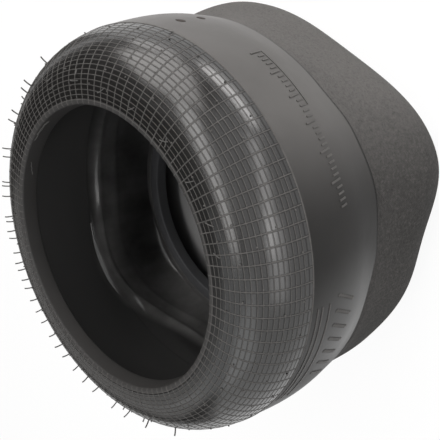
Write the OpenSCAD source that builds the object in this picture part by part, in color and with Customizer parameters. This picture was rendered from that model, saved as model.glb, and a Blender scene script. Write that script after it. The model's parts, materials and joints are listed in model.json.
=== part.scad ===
// Air spring bellows: a moulded rubber sleeve with two cord plies and a wire-cored bead at each end.
// It stands on its relaxed lower lobe, with its axis along +Z and its plate end upwards.

/* [Envelope] */
// Height from the surface it stands on to the lip of the upper mouth
height = 155; // [140:1:175]
// Outer radius of the smooth band
band_r = 125; // [118:0.5:130]

/* [Bead seats] */
// Radius of the upper bead seat, which grips the bead plate
top_bore_r = 80; // [76:0.5:84]
// Radius of the lower bead seat, which grips the piston
bottom_bore_r = 88; // [84:0.5:90]
// Height of the lower bead's outer face above the surface the lobe stands on
bottom_recess = 18; // [14:0.5:22]
// Rounding of a bead's outer edge
lip_round = 1.8; // [1:0.1:2.2]
// Rounding of a bead's inner edge
heel_round = 1.2; // [0.6:0.1:1.4]

/* [Wall layers] */
// Thickness of the outer rubber cover
cover_t = 1.8; // [1.2:0.1:2.4]
// Thickness of each rubber-coated cord ply
ply_t = 1; // [0.8:0.1:1.3]
// Thickness of the airtight inner liner
liner_t = 1.5; // [1.2:0.1:2]
// Bond line left between one layer and the next
bond_gap = 0.12; // [0.08:0.01:0.2]

/* [Shoulder and band] */
// Outer radius at which the shoulder's round would stand upright
shoulder_r = 120; // [114:0.5:122]
// How far below the lip it would stand upright
shoulder_h = 38; // [30:1:42]
// Height at which the band reaches its full radius
band_z = 90; // [88:1:100]
// How far the unloaded band leans to the +X side of the beads
lean = 1; // [-3:0.5:3]

/* [Shoulder ribs] */
// Rows of pads that the grid of ribs divides the shoulder into
pad_rows = 10; // [6:1:10]
// How far the middle of a pad lies below the ribs round it
rib_h = 0.4; // [0.2:0.05:0.6]
// How far below the lip the grid of ribs ends and the band begins
grid_drop = 27; // [21:1:30]

/* [Waist] */
// Height of the shallow fold between the band and the lobe
waist_z = 75; // [70:1:78]
// Depth of the fold
waist_depth = 1.1; // [0.5:0.1:3]
// Half the height of the fold
waist_half = 6; // [4:0.5:8]

/* [Relaxed lobe] */
// Height of the lobe's widest ring
lobe_z = 27; // [24:1:32]
// How far the lobe turns in from its widest ring to its foot
lobe_turn = 13; // [11:0.5:15]
// Width of the flat ring that the lobe stands on
foot_w = 3; // [2:0.5:5]
// Directions of the corners that the unloaded lobe has folded into, in degrees
corner_angles = [30, 98, 168, 210, 263, 336]; // [0:1:359]
// How far each corner stands out past the band
corner_out = [13, 15.8, 12.8, 4, 15.5, 12.5]; // [3:0.1:17]
// How far the wall stands out halfway from each corner to the next
flat_out = [4, 3, 2.5, 4.5, 4, 10]; // [1:0.5:12]

/* [Bead cores] */
// Diameter of one turn of the steel bead wire
wire_d = 1.25; // [1:0.05:1.4]
// Rubber between one turn and the next
wire_space = 0.05; // [0.03:0.01:0.1]
// Turns of wire in each layer of the bundle
wire_rows = [3, 4, 3]; // [2:1:5]
// Thickness of the fabric wrap round the bundle
wrap_t = 0.6; // [0.4:0.1:0.8]
// Thickness of the chafer strip on the bead seat
chafer_t = 1.2; // [0.8:0.1:1.6]
// Width of the lip that the chafer shows outside the cover
toe_w = 3.2; // [2.6:0.1:3.6]
// Width of the rubber filler beside the bundle
apex_w = 6; // [5:0.5:8]
// How far the wall has dropped away at the end of the lower filler
apex_dip = 0.9; // [0.5:0.1:1.2]

/* [Clearances] */
// Gap between a bead's own pieces and the layers of the wall
bead_gap = 0.3; // [0.2:0.05:0.4]
// Gap between the wires and their wrap
wire_gap = 0.08; // [0.05:0.01:0.15]

/* [Hidden] */
$fn = 96;

// Steps round the axis, the same for every layer so that their facets nest, and steps along a curve
wall_steps = 54;
shoulder_steps = 4;
curve_steps = 4;

// The wire bundle and the pocket that it fills between the two plies
wire_pitch = wire_d + wire_space;
row_rise = wire_pitch * sin(60);
bundle_w = (max(wire_rows) - 1) * wire_pitch + wire_d;
bundle_h = (len(wire_rows) - 1) * row_rise + wire_d;
wrap_w = bundle_w + 2 * (wire_gap + wrap_t);
wrap_h = bundle_h + 2 * (wire_gap + wrap_t);
pocket_h = wrap_h + 2 * bead_gap;
core_w = chafer_t + bond_gap + wrap_w + bead_gap;

// Depths under the outer surface at which each layer starts and ends
cover_in = cover_t;
ply_1_out = cover_in + bond_gap;
ply_1_in = ply_1_out + ply_t;
ply_2_out = ply_1_in + bond_gap;
ply_2_in = ply_2_out + ply_t;
liner_out = ply_2_in + bond_gap;
liner_in = liner_out + liner_t;
pocket_extra = pocket_h - bond_gap;
bead_h = liner_in + pocket_extra;
wrap_mid = ply_1_in + pocket_h / 2;

function mix(a, b, t) = a + (b - a) * t;
function ease(t) = let (c = min(1, max(0, t))) c * c * (3 - 2 * c);
function bezier(p, t) = let (u = 1 - t)
    u * u * u * p[0] + 3 * u * u * t * p[1] + 3 * u * t * t * p[2] + t * t * t * p[3];

// How far the lobe stands out past the band in one direction
function side_start(a, i) = (a - corner_angles[i] + 720) % 360;
function side_length(i) = side_start(corner_angles[(i + 1) % len(corner_angles)], i);
function side_bulge(i, t) = let (
    peak = mix(corner_out[i], corner_out[(i + 1) % len(corner_out)], ease(t)))
    peak - (peak - flat_out[i]) * (1 - cos(360 * t)) / 2;
function lobe_out(a) = [
    for (i = [0 : len(corner_angles) - 1])
        if (side_start(a, i) < side_length(i)) side_bulge(i, side_start(a, i) / side_length(i))
][0];

// The outer surface in one direction, as [radius, height] points from the upper toe to the lower one
function bead_run(bore, z) = [[bore + toe_w + bead_gap, z], [bore + core_w, z]];
function shoulder_at(q) = let (start = top_bore_r + core_w)
    [start + (shoulder_r - start) * sin(q), height - shoulder_h * (1 - cos(q))];
function grid_end() = acos(1 - grid_drop / shoulder_h);
function shoulder_run() = let (apex = asin(apex_w / (shoulder_r - top_bore_r - core_w))) [
    for (i = [0 : shoulder_steps]) shoulder_at(mix(apex, grid_end(), i / shoulder_steps))
];
function grid_run() = [
    for (i = [1 : pad_rows - 1]) shoulder_at(grid_end() * i / (pad_rows - 1))
];
function band_run() = let (
    end = grid_end(), from = shoulder_at(end), drop = from[1] - band_z,
    flare = (shoulder_r - top_bore_r - core_w) / shoulder_h / tan(end) * drop) [
    for (t = [0.33, 0.67, 1])
        [mix(from[0], band_r, ease(t)) + flare * t * (1 - t) * (1 - t), from[1] - drop * t]
];
function waist_run() = [
    [band_r, waist_z + waist_half],
    [band_r - waist_depth, waist_z],
    [band_r, waist_z - waist_half]
];
function lobe_run(out) = let (z = waist_z - waist_half) [
    for (t = [0.33, 0.67, 1]) [band_r + out * ease(t), mix(z, lobe_z, t)]
];
function foot_run(out) = let (r = band_r + out, foot = r - lobe_turn) [
    for (i = [1 : curve_steps])
        bezier([[r, lobe_z], [r, lobe_z * 0.45], [foot + lobe_turn * 0.7, 0], [foot, 0]],
            i / curve_steps)
];
function tuck_run(out) = let (
    from = band_r + out - lobe_turn - foot_w,
    to = bottom_bore_r + core_w + apex_w,
    rise = bottom_recess - apex_dip,
    reach = (from - to) * 0.6) [
    for (i = [0 : curve_steps])
        bezier([[from, 0], [from - reach, 0], [to + reach * 0.9, rise - reach * 0.2], [to, rise]],
            i / curve_steps)
];
function outline(a, ribbed = false) = let (
    out = lobe_out(a), low = bead_run(bottom_bore_r, bottom_recess))
    concat(bead_run(top_bore_r, height), ribbed ? grid_run() : shoulder_run(), band_run(), waist_run(),
        lobe_run(out), foot_run(out), tuck_run(out), [low[1], low[0]]);

// The way the outline runs at a point; at a bead only the bead's own points count
function along(line, i) = let (last = len(line) - 1)
    i <= 1 ? line[1] - line[0] :
    i == 2 ? line[2] - line[1] :
    i == last - 2 ? line[last - 1] - line[last - 2] :
    i >= last - 1 ? line[last] - line[last - 1] :
    line[i + 1] - line[i - 1];

// A point of the outline moved into the wall, square to the surface
function sunk(line, i, depth) = let (d = along(line, i)) line[i] + [d[1], -d[0]] * depth / norm(d);

// Below the first ply the layers pass round the bead's core, and close up beyond its filler
function core_share(i, count) = let (from_end = min(i, count - 1 - i))
    from_end <= 1 ? 1 : from_end == 2 ? 0.5 : 0;

// The share of the lean that a height takes: none at the beads and the lobe, all of it in the band
function lean_at(z) = lean * ease((height - z) / shoulder_h)
    * ease((z - lobe_z) / (waist_z - waist_half - lobe_z));

// One face of a layer in one direction, from the upper bead to the lower one
function face_line(a, line, first, depth, split) = let (n = len(line)) [
    for (i = [first : n - 1 - first]) let (
        p = sunk(line, i, depth + split * pocket_extra * core_share(i, n)))
        [p[0] * cos(a) + lean_at(line[i][1]), p[0] * sin(a), p[1]]
];

// The closed loop of one layer in one direction: down its outer face and back up its inner one
function section(a, first, outer, inner, split, ribbed) = let (
    out = face_line(a, outline(a, ribbed), first, outer, split),
    back = face_line(a, outline(a), first, inner, split))
    concat(out, [for (i = [len(back) - 1 : -1 : 0]) back[i]]);

// The sunk middle of the pad between two directions and two rows
function pad_middle(one, two, j) = let (
    a = one[j], b = one[j + 1], c = two[j + 1], d = two[j], outward = cross(c - a, d - b))
    (a + b + c + d) / 4 - outward * rib_h / norm(outward);

// A layer's inner face is cut along the same diagonals as its outer one, so layers never cross
module layer(first, outer, inner, split, ribbed = false) {
    loops = [for (k = [0 : wall_steps - 1])
        section(k * 360 / wall_steps, first, outer, inner, split, ribbed)];
    size = len(loops[0]);
    pads = ribbed ? pad_rows : 0;
    out_size = len(outline(0, ribbed)) - 2 * first;
    middles = [for (k = [0 : wall_steps - 1]) for (j = [0 : 1 : pads - 1])
        pad_middle(loops[k], loops[(k + 1) % wall_steps], j)];
    faces = [for (k = [0 : wall_steps - 1]) for (j = [0 : size - 1])
        let (here = k * size, next = ((k + 1) % wall_steps) * size, after = (j + 1) % size,
            a = here + j, b = here + after, c = next + after, d = next + j,
            m = wall_steps * size + k * pads + j)
        for (f = j < pads ? [[a, d, m], [d, c, m], [c, b, m], [b, a, m]] :
            j < out_size ? [[a, c, b], [a, d, c]] : [[a, d, b], [b, d, c]]) f];
    polyhedron(concat([for (loop = loops) for (p = loop) p], middles), faces);
}

module outer_cover() {
    color([0.13, 0.13, 0.13]) layer(0, 0, cover_in, 0, ribbed = true);
}
module outer_cord_ply() {
    color([0.45, 0.38, 0.26]) layer(0, ply_1_out, ply_1_in, 0);
}
module inner_cord_ply() {
    color([0.52, 0.44, 0.3]) layer(0, ply_2_out, ply_2_in, 1);
}
module inner_liner() {
    color([0.08, 0.08, 0.08]) layer(1, liner_out, liner_in, 1);
}

// A bead's pieces are drawn with their outer face at zero and the air chamber above it
module at_top() { translate([0, 0, height]) mirror([0, 0, 1]) children(); }
module at_bottom() { translate([0, 0, bottom_recess]) children(); }

// Strip of rubbered fabric that forms the lip, the seat and the inside edge of a bead
module chafer(bore) {
    inside = bead_h - liner_t;
    rotate_extrude() translate([bore, 0]) difference() {
        union() {
            translate([lip_round, 0]) square([toe_w - lip_round, ply_1_in]);
            translate([0, lip_round]) square([toe_w, bead_h - lip_round - heel_round]);
            translate([heel_round, inside]) square([core_w - heel_round - bead_gap, liner_t]);
            translate([lip_round, lip_round]) circle(lip_round);
            translate([heel_round, bead_h - heel_round]) circle(heel_round);
        }
        translate([chafer_t, ply_1_in]) square([core_w, pocket_h]);
        translate([toe_w, 0]) square([core_w, inside]);
    }
}

// Turns of steel wire that keep a bead from stretching off its seat
module bead_wires(bore) {
    middle = bore + chafer_t + bond_gap + wrap_w / 2;
    for (row = [0 : len(wire_rows) - 1], turn = [0 : wire_rows[row] - 1])
        rotate_extrude()
            translate([middle + (turn - (wire_rows[row] - 1) / 2) * wire_pitch,
                wrap_mid + (row - (len(wire_rows) - 1) / 2) * row_rise])
                circle(wire_d / 2);
}

// Fabric sleeve round the bundle of wires
module bead_wrap(bore) {
    rotate_extrude() translate([bore + chafer_t + bond_gap + wrap_w / 2, wrap_mid])
        difference() {
            square([wrap_w, wrap_h], center = true);
            square([bundle_w + 2 * wire_gap, bundle_h + 2 * wire_gap], center = true);
        }
}

// Tapered rubber strip that fills the wedge where the plies part round the core
module bead_filler(core_end, apex_end) {
    line = outline(0);
    top = ply_1_in + bead_gap;
    under = ply_2_out - bead_gap;
    rotate_extrude() polygon([
        sunk(line, core_end, top),
        sunk(line, apex_end, top),
        sunk(line, apex_end, under + pocket_extra / 2),
        sunk(line, core_end, under + pocket_extra)
    ]);
}

module top_chafer() { color([0.2, 0.2, 0.2]) at_top() chafer(top_bore_r); }
module top_bead_wires() { color([0.72, 0.6, 0.4]) at_top() bead_wires(top_bore_r); }
module top_bead_wrap() { color([0.6, 0.56, 0.45]) at_top() bead_wrap(top_bore_r); }
module top_bead_filler() { color([0.25, 0.22, 0.2]) bead_filler(1, 2); }
module bottom_chafer() { color([0.2, 0.2, 0.2]) at_bottom() chafer(bottom_bore_r); }
module bottom_bead_wires() { color([0.72, 0.6, 0.4]) at_bottom() bead_wires(bottom_bore_r); }
module bottom_bead_wrap() { color([0.6, 0.56, 0.45]) at_bottom() bead_wrap(bottom_bore_r); }
module bottom_bead_filler() {
    points = len(outline(0));
    color([0.25, 0.22, 0.2]) bead_filler(points - 2, points - 3);
}

outer_cover();
outer_cord_ply();
inner_cord_ply();
inner_liner();
top_chafer();
top_bead_wires();
top_bead_wrap();
top_bead_filler();
bottom_chafer();
bottom_bead_wires();
bottom_bead_wrap();
bottom_bead_filler();
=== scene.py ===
"""Looks of an air spring's rubber bellows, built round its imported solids.

Lengths are in metres where no mm are named, and directions in degrees round the axis from +X.
"""

import json
import math
import random

import bpy
import numpy as np
from bpy.props import FloatProperty, FloatVectorProperty, IntProperty, PointerProperty
from mathutils import Matrix, Vector


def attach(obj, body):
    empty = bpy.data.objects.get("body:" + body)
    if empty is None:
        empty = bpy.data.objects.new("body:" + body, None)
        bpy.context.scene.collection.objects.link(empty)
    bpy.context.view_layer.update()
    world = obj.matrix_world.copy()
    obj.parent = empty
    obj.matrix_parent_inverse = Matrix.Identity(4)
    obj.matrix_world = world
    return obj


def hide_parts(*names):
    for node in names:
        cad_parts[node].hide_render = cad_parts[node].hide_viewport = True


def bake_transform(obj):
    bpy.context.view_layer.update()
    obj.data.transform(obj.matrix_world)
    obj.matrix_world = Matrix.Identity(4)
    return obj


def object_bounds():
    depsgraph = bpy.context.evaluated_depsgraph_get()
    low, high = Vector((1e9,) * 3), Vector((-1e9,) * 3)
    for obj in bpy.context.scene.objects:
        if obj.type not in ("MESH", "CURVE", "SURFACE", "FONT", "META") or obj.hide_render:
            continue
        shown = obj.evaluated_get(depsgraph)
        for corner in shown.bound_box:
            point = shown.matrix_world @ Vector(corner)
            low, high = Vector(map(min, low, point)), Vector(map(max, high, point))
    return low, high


bl_info = {
    "name": "Air Spring Bellows",
    "version": (1, 0, 0),
    "blender": (4, 5, 0),
    "location": "View3D > Sidebar > Bellows",
    "description": "Ribbed rubber sleeve of an air spring, with its plies, beads and vent whiskers",
    "category": "Object",
}

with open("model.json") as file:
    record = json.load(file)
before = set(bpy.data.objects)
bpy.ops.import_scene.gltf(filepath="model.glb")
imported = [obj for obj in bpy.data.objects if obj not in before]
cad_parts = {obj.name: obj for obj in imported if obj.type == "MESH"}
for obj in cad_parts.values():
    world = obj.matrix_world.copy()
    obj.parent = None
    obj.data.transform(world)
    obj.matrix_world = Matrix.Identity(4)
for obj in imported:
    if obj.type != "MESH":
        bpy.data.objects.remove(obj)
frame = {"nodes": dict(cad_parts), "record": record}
CAD_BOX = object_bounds()
MOUNTS = {mount["name"]: mount for mount in frame["record"]["mounts"]}
FINISHES = {m["slot"]: m["base_color"] for m in frame["record"]["materials"]}
MM = 0.001

# The relaxed lobe: direction of each corner and its reach past the band in mm, and then the reach
# of each side's middle
CORNERS = ((30, 13.0), (98, 15.8), (168, 12.8), (210, 4.0), (263, 15.5), (336, 12.5))
FLATS = (4.0, 3.0, 2.5, 4.5, 4.0, 10.0)

# Long vent whiskers on the far side's outline: direction, and arc from the bore in mm
LONG_WHISKERS = (
    (-0.5, 36), (9, 31), (11.5, 29), (21.5, 28), (24, 25), (35, 24), (38, 22.5), (48.5, 22),
    (50.5, 24), (54, 21), (62, 20), (64.5, 22), (68, 20.5), (71, 19), (77, 20), (81, 20), (84, 21),
    (88.3, 20), (92, 19.5), (97, 20), (101.5, 21), (106.5, 20), (113, 20), (118, 21), (123, 21),
    (129, 22), (135, 22.5), (141, 23.5), (150.5, 25.5), (157, 27), (165, 30), (175, 35))

# Rings of vents round the rib grid: arc from the bore in mm
VENT_RINGS = (10.0, 18.5, 27.5, 37.5, 46.5)

# Vent whiskers that lie flat on the near side: direction, arc from the bore in mm, the way that
# each points in degrees from the circumference, and length in mm
FLAT_WHISKERS = (
    (-68.3, 9, 40, 4.2), (-67.6, 9.6, 130, 3.6), (-81.9, 9.6, 75, 4.0), (-95.2, 10.4, 60, 4.0),
    (-38.3, 10, 45, 4.6), (-24.6, 11.7, 4, 4.8), (-11.2, 12, 20, 4.0), (-24.2, 17, 95, 3.0),
    (-10, 17.5, 30, 3.6), (-52.5, 9, 50, 3.4), (-45.8, 52, 70, 2.2), (-104, 9.5, 55, 3.2))

# Shreds of flash on the upper seat: directions of both ends, and their drops from the lip in mm
SHREDS = ((3.0, 17.0, 3.4, 2.2), (3.2, 13.0, 2.7, 1.9), (31.0, 38.0, 4.4, 6.6))

# Dabs on the band: direction, and arc from the bore, half width and half height in mm
DABS = ((-41.0, 66.8, 3.4, 1.9), (-41.8, 79.8, 2.9, 2.0))

# The line where the smooth band ends: direction, and height in mm
STEP_LINE = (
    (0, 77.0), (35, 77.0), (100, 77.0), (200, 77.0), (215, 77.5), (234, 79.5), (247, 74.0),
    (260, 70.0), (274, 72.8), (287, 78.4), (303, 79.2), (325, 78.2))

# The ridge that the folded wall makes on the inside: direction, and height in mm
FOLD_LINE = (
    (0, 70.0), (41, 70.0), (54, 67.0), (67, 67.0), (84, 75.0), (95, 78.5), (105, 76.5), (113, 68.5),
    (122, 57.0), (132, 48.5), (143, 45.5), (165, 56.0), (200, 68.0))

# Arc length that a V of 1 stands for in every wall piece's UV map
UV_SPAN = 0.5

# Steps of the wall's profile across each bead's lip
LIP_STEPS = 5


def bore_of(mount):
    return MOUNTS[mount]["dims"]["r_mm"] * MM


def length(name, description, default):
    return FloatProperty(
        name=name, description=description, default=default, unit="LENGTH", precision=5)


def colour(name, description, default):
    return FloatVectorProperty(
        name=name, description=description, default=default, subtype="COLOR", min=0, max=1)


class BellowsShape(bpy.types.PropertyGroup):
    """Sizes of the wall and its beads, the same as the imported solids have"""

    height: length("Height", "From the standing surface to the lip", CAD_BOX[1].z)
    band_radius: length("Band radius", "Outer radius of the smooth band", 125 * MM)
    top_bore: length("Upper seat", "Radius of the upper bead seat", bore_of("top_bead_seat"))
    bottom_bore: length("Lower seat", "Radius of the lower bead seat", bore_of("bottom_bead_seat"))
    bottom_recess: length("Recess", "Height of the lower bead's outer face", 18 * MM)
    shoulder_radius: length("Shoulder radius", "Outer radius where the shoulder ends", 120 * MM)
    shoulder_height: length("Shoulder height", "Drop from the lip to the shoulder's end", 38 * MM)
    grid_height: length("Grid end", "Height at which ribs end and the band starts", 128 * MM)
    band_start: length("Band start", "Height at which the band is at full radius", 90 * MM)
    lean: length("Lean", "Sideways lean of the unloaded band", 1 * MM)
    waist_height: length("Waist height", "Height of the fold between band and lobe", 75 * MM)
    waist_depth: length("Waist depth", "Depth of that fold", 1.1 * MM)
    waist_half: length("Waist half height", "Half the height of that fold", 6 * MM)
    lobe_height: length("Lobe height", "Height of the lobe's widest ring", 27 * MM)
    lobe_turn: length("Lobe turn", "How far the lobe turns in to its foot", 13 * MM)
    foot_width: length("Foot width", "Width of the flat ring it stands on", 3 * MM)
    cover: length("Cover", "Thickness of the rubber cover", 1.8 * MM)
    ply: length("Ply", "Thickness of each cord ply", 1 * MM)
    liner: length("Liner", "Thickness of the inner liner", 1.5 * MM)
    bond: length("Bond line", "Space between two layers", 0.12 * MM)
    pocket: length("Pocket", "Height of the bead wire bundle's pocket", 5.46 * MM)
    core: length("Core width", "Width of a bead's core with its strip", 8.13 * MM)
    apex: length("Filler width", "Width of the filler beside the core", 6 * MM)
    apex_dip: length("Filler dip", "Drop of the wall at the lower filler's end", 0.9 * MM)
    toe: length("Lip width", "Width of the chafer's lip", 3.2 * MM)
    toe_gap: length("Lip gap", "Joint between the lip and the cover", 0.3 * MM)
    lip_round: length("Lip rounding", "Rounding of a bead's outer edge", 1.8 * MM)
    heel_round: length("Heel rounding", "Rounding of a bead's inner edge", 1.2 * MM)
    chafer: length("Chafer", "Thickness of the chafer on the seat", 1.2 * MM)


class BellowsRelief(bpy.types.PropertyGroup):
    """Moulded relief of the cover"""

    rib_count: IntProperty(name="Ribs", description="Ribs round the shoulder", default=108)
    rib_rows: IntProperty(name="Rib rings", description="Rings that cross the ribs", default=19)
    row_pitch: length("Ring pitch", "Distance from one rib ring to the next", 2.47 * MM)
    rib_radius: length("Rib radius", "Radius of a rib's rounded top", 0.31 * MM)
    ring_radius: length("Ring radius", "Radius of a rib ring's rounded top", 0.23 * MM)
    edge_arc: length("Grid edge", "Arc from the bore to the grid's edge", 51.8 * MM)
    whisker_radius: length("Whisker radius", "Radius of a vent whisker", 0.42 * MM)
    whiskers_per_ring: IntProperty(name="Vents", description="Vents in one ring", default=36)
    tick_proud: length("Tick height", "How far the scale's ticks stand out", 0.4 * MM)


class BellowsFinish(bpy.types.PropertyGroup):
    """Colours of the bellows' finishes"""

    pad: colour("Pads", "Glossy rubber between the ribs", (0.014, 0.0135, 0.013))
    band: colour("Band", "Satin rubber of the smooth band", (0.025, 0.0245, 0.024))
    lobe: colour("Lobe", "Matt cloth-marked rubber of the lobe", (0.064, 0.0625, 0.061))
    rib: colour("Ribs", "Rubber of the ribs and whiskers", (0.062, 0.0595, 0.057))
    liner: colour("Liner", "Rubber of the inside", (0.03, 0.0295, 0.029))
    chafer: colour("Chafer", "Rubbered fabric of the beads", (0.026, 0.0255, 0.025))


class BellowsStudio(bpy.types.PropertyGroup):
    """Camera, lights and floor"""

    lens: FloatProperty(name="Lens", description="Focal length in mm", default=38.7)
    ambient: FloatProperty(name="Ambient", description="Strength of the surroundings", default=0.1)
    floor: FloatProperty(name="Floor", description="Brightness of the pale floor", default=1.04)
    light: FloatProperty(
        name="Light", description="Total power of the lamps", default=24.5, unit="POWER")


# ---- numbers of the wall ----


def ease(t):
    t = np.clip(t, 0.0, 1.0)
    return t * t * (3 - 2 * t)


def mix(a, b, t):
    return a + (b - a) * t


def bezier(p, t):
    u = 1 - t
    return u ** 3 * p[0] + 3 * u * u * t * p[1] + 3 * u * t * t * p[2] + t ** 3 * p[3]


def lobe_out(angles):
    """How far the lobe stands out past the band in each direction."""
    out = np.zeros(len(angles))
    for i, ((at, peak), flat) in enumerate(zip(CORNERS, FLATS)):
        next_at, next_peak = CORNERS[(i + 1) % len(CORNERS)]
        t = ((angles - at) % 360) / ((next_at - at) % 360)
        top = mix(peak, next_peak, ease(t))
        reach = top - (top - flat) * (1 - np.cos(2 * math.pi * t)) / 2
        out = np.where(t < 1, reach * MM, out)
    return out


def step_at(angles):
    """Height of the smooth band's lower edge in each direction."""
    at = np.array([a for a, _ in STEP_LINE] + [360.0])
    high = np.array([h for _, h in STEP_LINE] + [STEP_LINE[0][1]])
    i = np.clip(np.searchsorted(at, angles % 360, side="right") - 1, 0, len(STEP_LINE) - 1)
    t = (angles % 360 - at[i]) / (at[i + 1] - at[i])
    return mix(high[i], high[i + 1], ease(t)) * MM


def fold_at(s, angles, z):
    """How deep the fold under the band's lower edge is."""
    step = step_at(angles)
    return s.waist_depth * 0.7 * ease((step + 0.5 * MM - z) / (0.8 * MM)) * (
        1 - ease((step - 0.6 * MM - z) / (8 * MM)))


def relief_at(s, angles, z):
    """Height of the cover's finer moulding: a groove along the band's lower edge, and slight
    waves that fade out towards the lip and the foot."""
    a = np.radians(angles)
    groove = -0.5 * MM * np.exp(-((z - step_at(angles)) / (0.32 * MM)) ** 2)
    full = ease((s.height - 30 * MM - z) / (20 * MM)) * ease(z / (20 * MM))
    waves = 0.1 * MM * full * (np.sin(5 * a + z * 40) + 0.6 * np.sin(9 * a - z * 55 + 1.3))
    return groove + waves


def ridge_at(s, angles, z):
    """How far the fold's soft ridges stand out inside, in place of the crisp fold outside."""
    at, high = zip(*FOLD_LINE)
    turns = (-12, -6, 0, 6, 12)
    fold = sum(np.interp(angles + turn, at, high, period=360) for turn in turns) / len(turns)
    ridges = ((0, 3.3, 5.0), (-20, 0.9, 4.0))  # height from the fold, how far out, half width: mm
    return sum(out * MM * np.exp(-((z - fold * MM - up * MM) / (half * MM)) ** 2)
               for up, out, half in ridges) - fold_at(s, angles, z)


def lean_at(s, z):
    """Share of the band's lean that a height takes: none at the beads and the lobe."""
    low = s.waist_height - s.waist_half
    return s.lean * ease((s.height - z) / s.shoulder_height) * ease(
        (z - s.lobe_height) / (low - s.lobe_height))


def wall_line(s, angles):
    """The outer surface in each direction, from the upper toe to the lower one, with its inward
    normals, the share of the bead pocket that the inner layers pass round, and arc lengths."""
    out = lobe_out(angles)[:, None]
    r_parts, z_parts = [], []

    def run(r, z):
        r_parts.append(r + 0 * out + 0 * z)
        z_parts.append(z + 0 * out + 0 * r)

    def steps(count, skip_first=True):
        return np.linspace(0, 1, count + 1)[None, 1 if skip_first else 0:]

    top_core = s.top_bore + s.core
    low_core = s.bottom_bore + s.core
    run(mix(s.top_bore + s.toe + s.toe_gap, top_core, steps(LIP_STEPS, False)), s.height)
    width = s.shoulder_radius - top_core
    end = math.acos(1 - (s.height - s.grid_height) / s.shoulder_height)
    q = steps(50) * end
    run(top_core + width * np.sin(q), s.height - s.shoulder_height * (1 - np.cos(q)))
    t, drop = steps(22), s.grid_height - s.band_start
    flare = width * math.cos(end) / (s.shoulder_height * math.sin(end)) * drop
    run(mix(top_core + width * math.sin(end), s.band_radius, ease(t)) + flare * t * (1 - t) ** 2,
        mix(s.grid_height, s.band_start, t))
    waist_top, waist_low = s.waist_height + s.waist_half, s.waist_height - s.waist_half
    run(s.band_radius, mix(s.band_start, waist_top, steps(8)))
    run(s.band_radius, mix(waist_top, waist_low, steps(44)))
    t = steps(28)
    run(s.band_radius + out * ease(t), mix(waist_low, s.lobe_height, t))
    r = s.band_radius + out
    foot = r - s.lobe_turn
    t = steps(22)
    run(bezier([r, r, foot + s.lobe_turn * 0.7, foot], t),
        bezier([s.lobe_height, s.lobe_height * 0.45, 0, 0], t))
    start, end = foot - s.foot_width, low_core + s.apex
    rise, reach = s.bottom_recess - s.apex_dip, (start - end) * 0.6
    run(mix(foot, start, steps(2)), 0.0)
    t = steps(24)
    run(bezier([start, start - reach, end + reach * 0.9, end], t),
        bezier([0, 0, rise - reach * 0.2, rise], t))
    run(mix(end, low_core, steps(5)), mix(rise, s.bottom_recess, steps(5)))
    run(mix(low_core, s.bottom_bore + s.toe + s.toe_gap, steps(LIP_STEPS)), s.bottom_recess)

    r, z = np.concatenate(r_parts, 1), np.concatenate(z_parts, 1)
    r = r - fold_at(s, angles[:, None], z)
    dr, dz = np.gradient(r, axis=1), np.gradient(z, axis=1)
    size = np.hypot(dr, dz)
    nr, nz = dz / size, -dr / size
    upper = z > s.waist_height
    past_core = np.where(upper, r - top_core, r - low_core)
    on_bead = past_core <= 0.001 * MM
    nr = np.where(on_bead, 0, nr)
    nz = np.where(on_bead, np.where(upper, -1.0, 1.0), nz)
    # The pocket's share falls to a half at the filler's end, and to none this far past the core
    share = np.where(upper, *(
        np.interp(past_core, [0, s.apex, far], [1, 0.5, 0]) for far in (14.3 * MM, 10.8 * MM)))
    arc = np.concatenate([np.zeros((len(r), 1)), np.cumsum(
        np.hypot(np.diff(r, axis=1), np.diff(z, axis=1)), axis=1)], 1)
    return {"r": r, "z": z, "nr": nr, "nz": nz, "share": share, "arc": arc}


def ring_mesh(name, points, arcs, material, sharp=50):
    """A closed ring: points[k][j] is point j of the loop in direction k, arcs its V in metres."""
    around, size = points.shape[:2]
    k, j = np.meshgrid(np.arange(around), np.arange(size), indexing="ij")
    k2, j2 = (k + 1) % around, (j + 1) % size
    corners = (k * size + j, k * size + j2, k2 * size + j2, k2 * size + j)
    faces = np.stack(corners, -1).reshape(-1, 4)
    mesh = bpy.data.meshes.new(name)
    mesh.from_pydata(points.reshape(-1, 3).tolist(), [], faces.tolist())
    v = np.append(arcs, arcs[-1] + (arcs[-1] - arcs[-2])) / UV_SPAN
    u = np.stack([k, k, k + 1, k + 1], -1) / around
    w = np.stack([v[j], v[j + 1], v[j + 1], v[j]], -1)
    layer = mesh.uv_layers.new(name="wall")
    layer.data.foreach_set("uv", np.stack([u, w], -1).astype(np.float32).ravel())
    mesh.polygons.foreach_set("use_smooth", np.ones(len(faces), bool))
    mesh.set_sharp_from_angle(angle=math.radians(sharp))
    mesh.materials.append(material)
    obj = bpy.data.objects.new(name, mesh)
    bpy.context.scene.collection.objects.link(obj)
    return obj


def arcs_along(line):
    """Arc length up to each point of a line."""
    return np.concatenate([[0], np.cumsum(np.linalg.norm(np.diff(line, axis=0), axis=1))])


def placed(s, angles, r, z, z_lean):
    """Points by radius and height in each direction, leaned as the wall is at another height."""
    a = np.radians(angles)[:, None]
    return np.stack([r * np.cos(a) + lean_at(s, z_lean), r * np.sin(a), z], -1)


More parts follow.
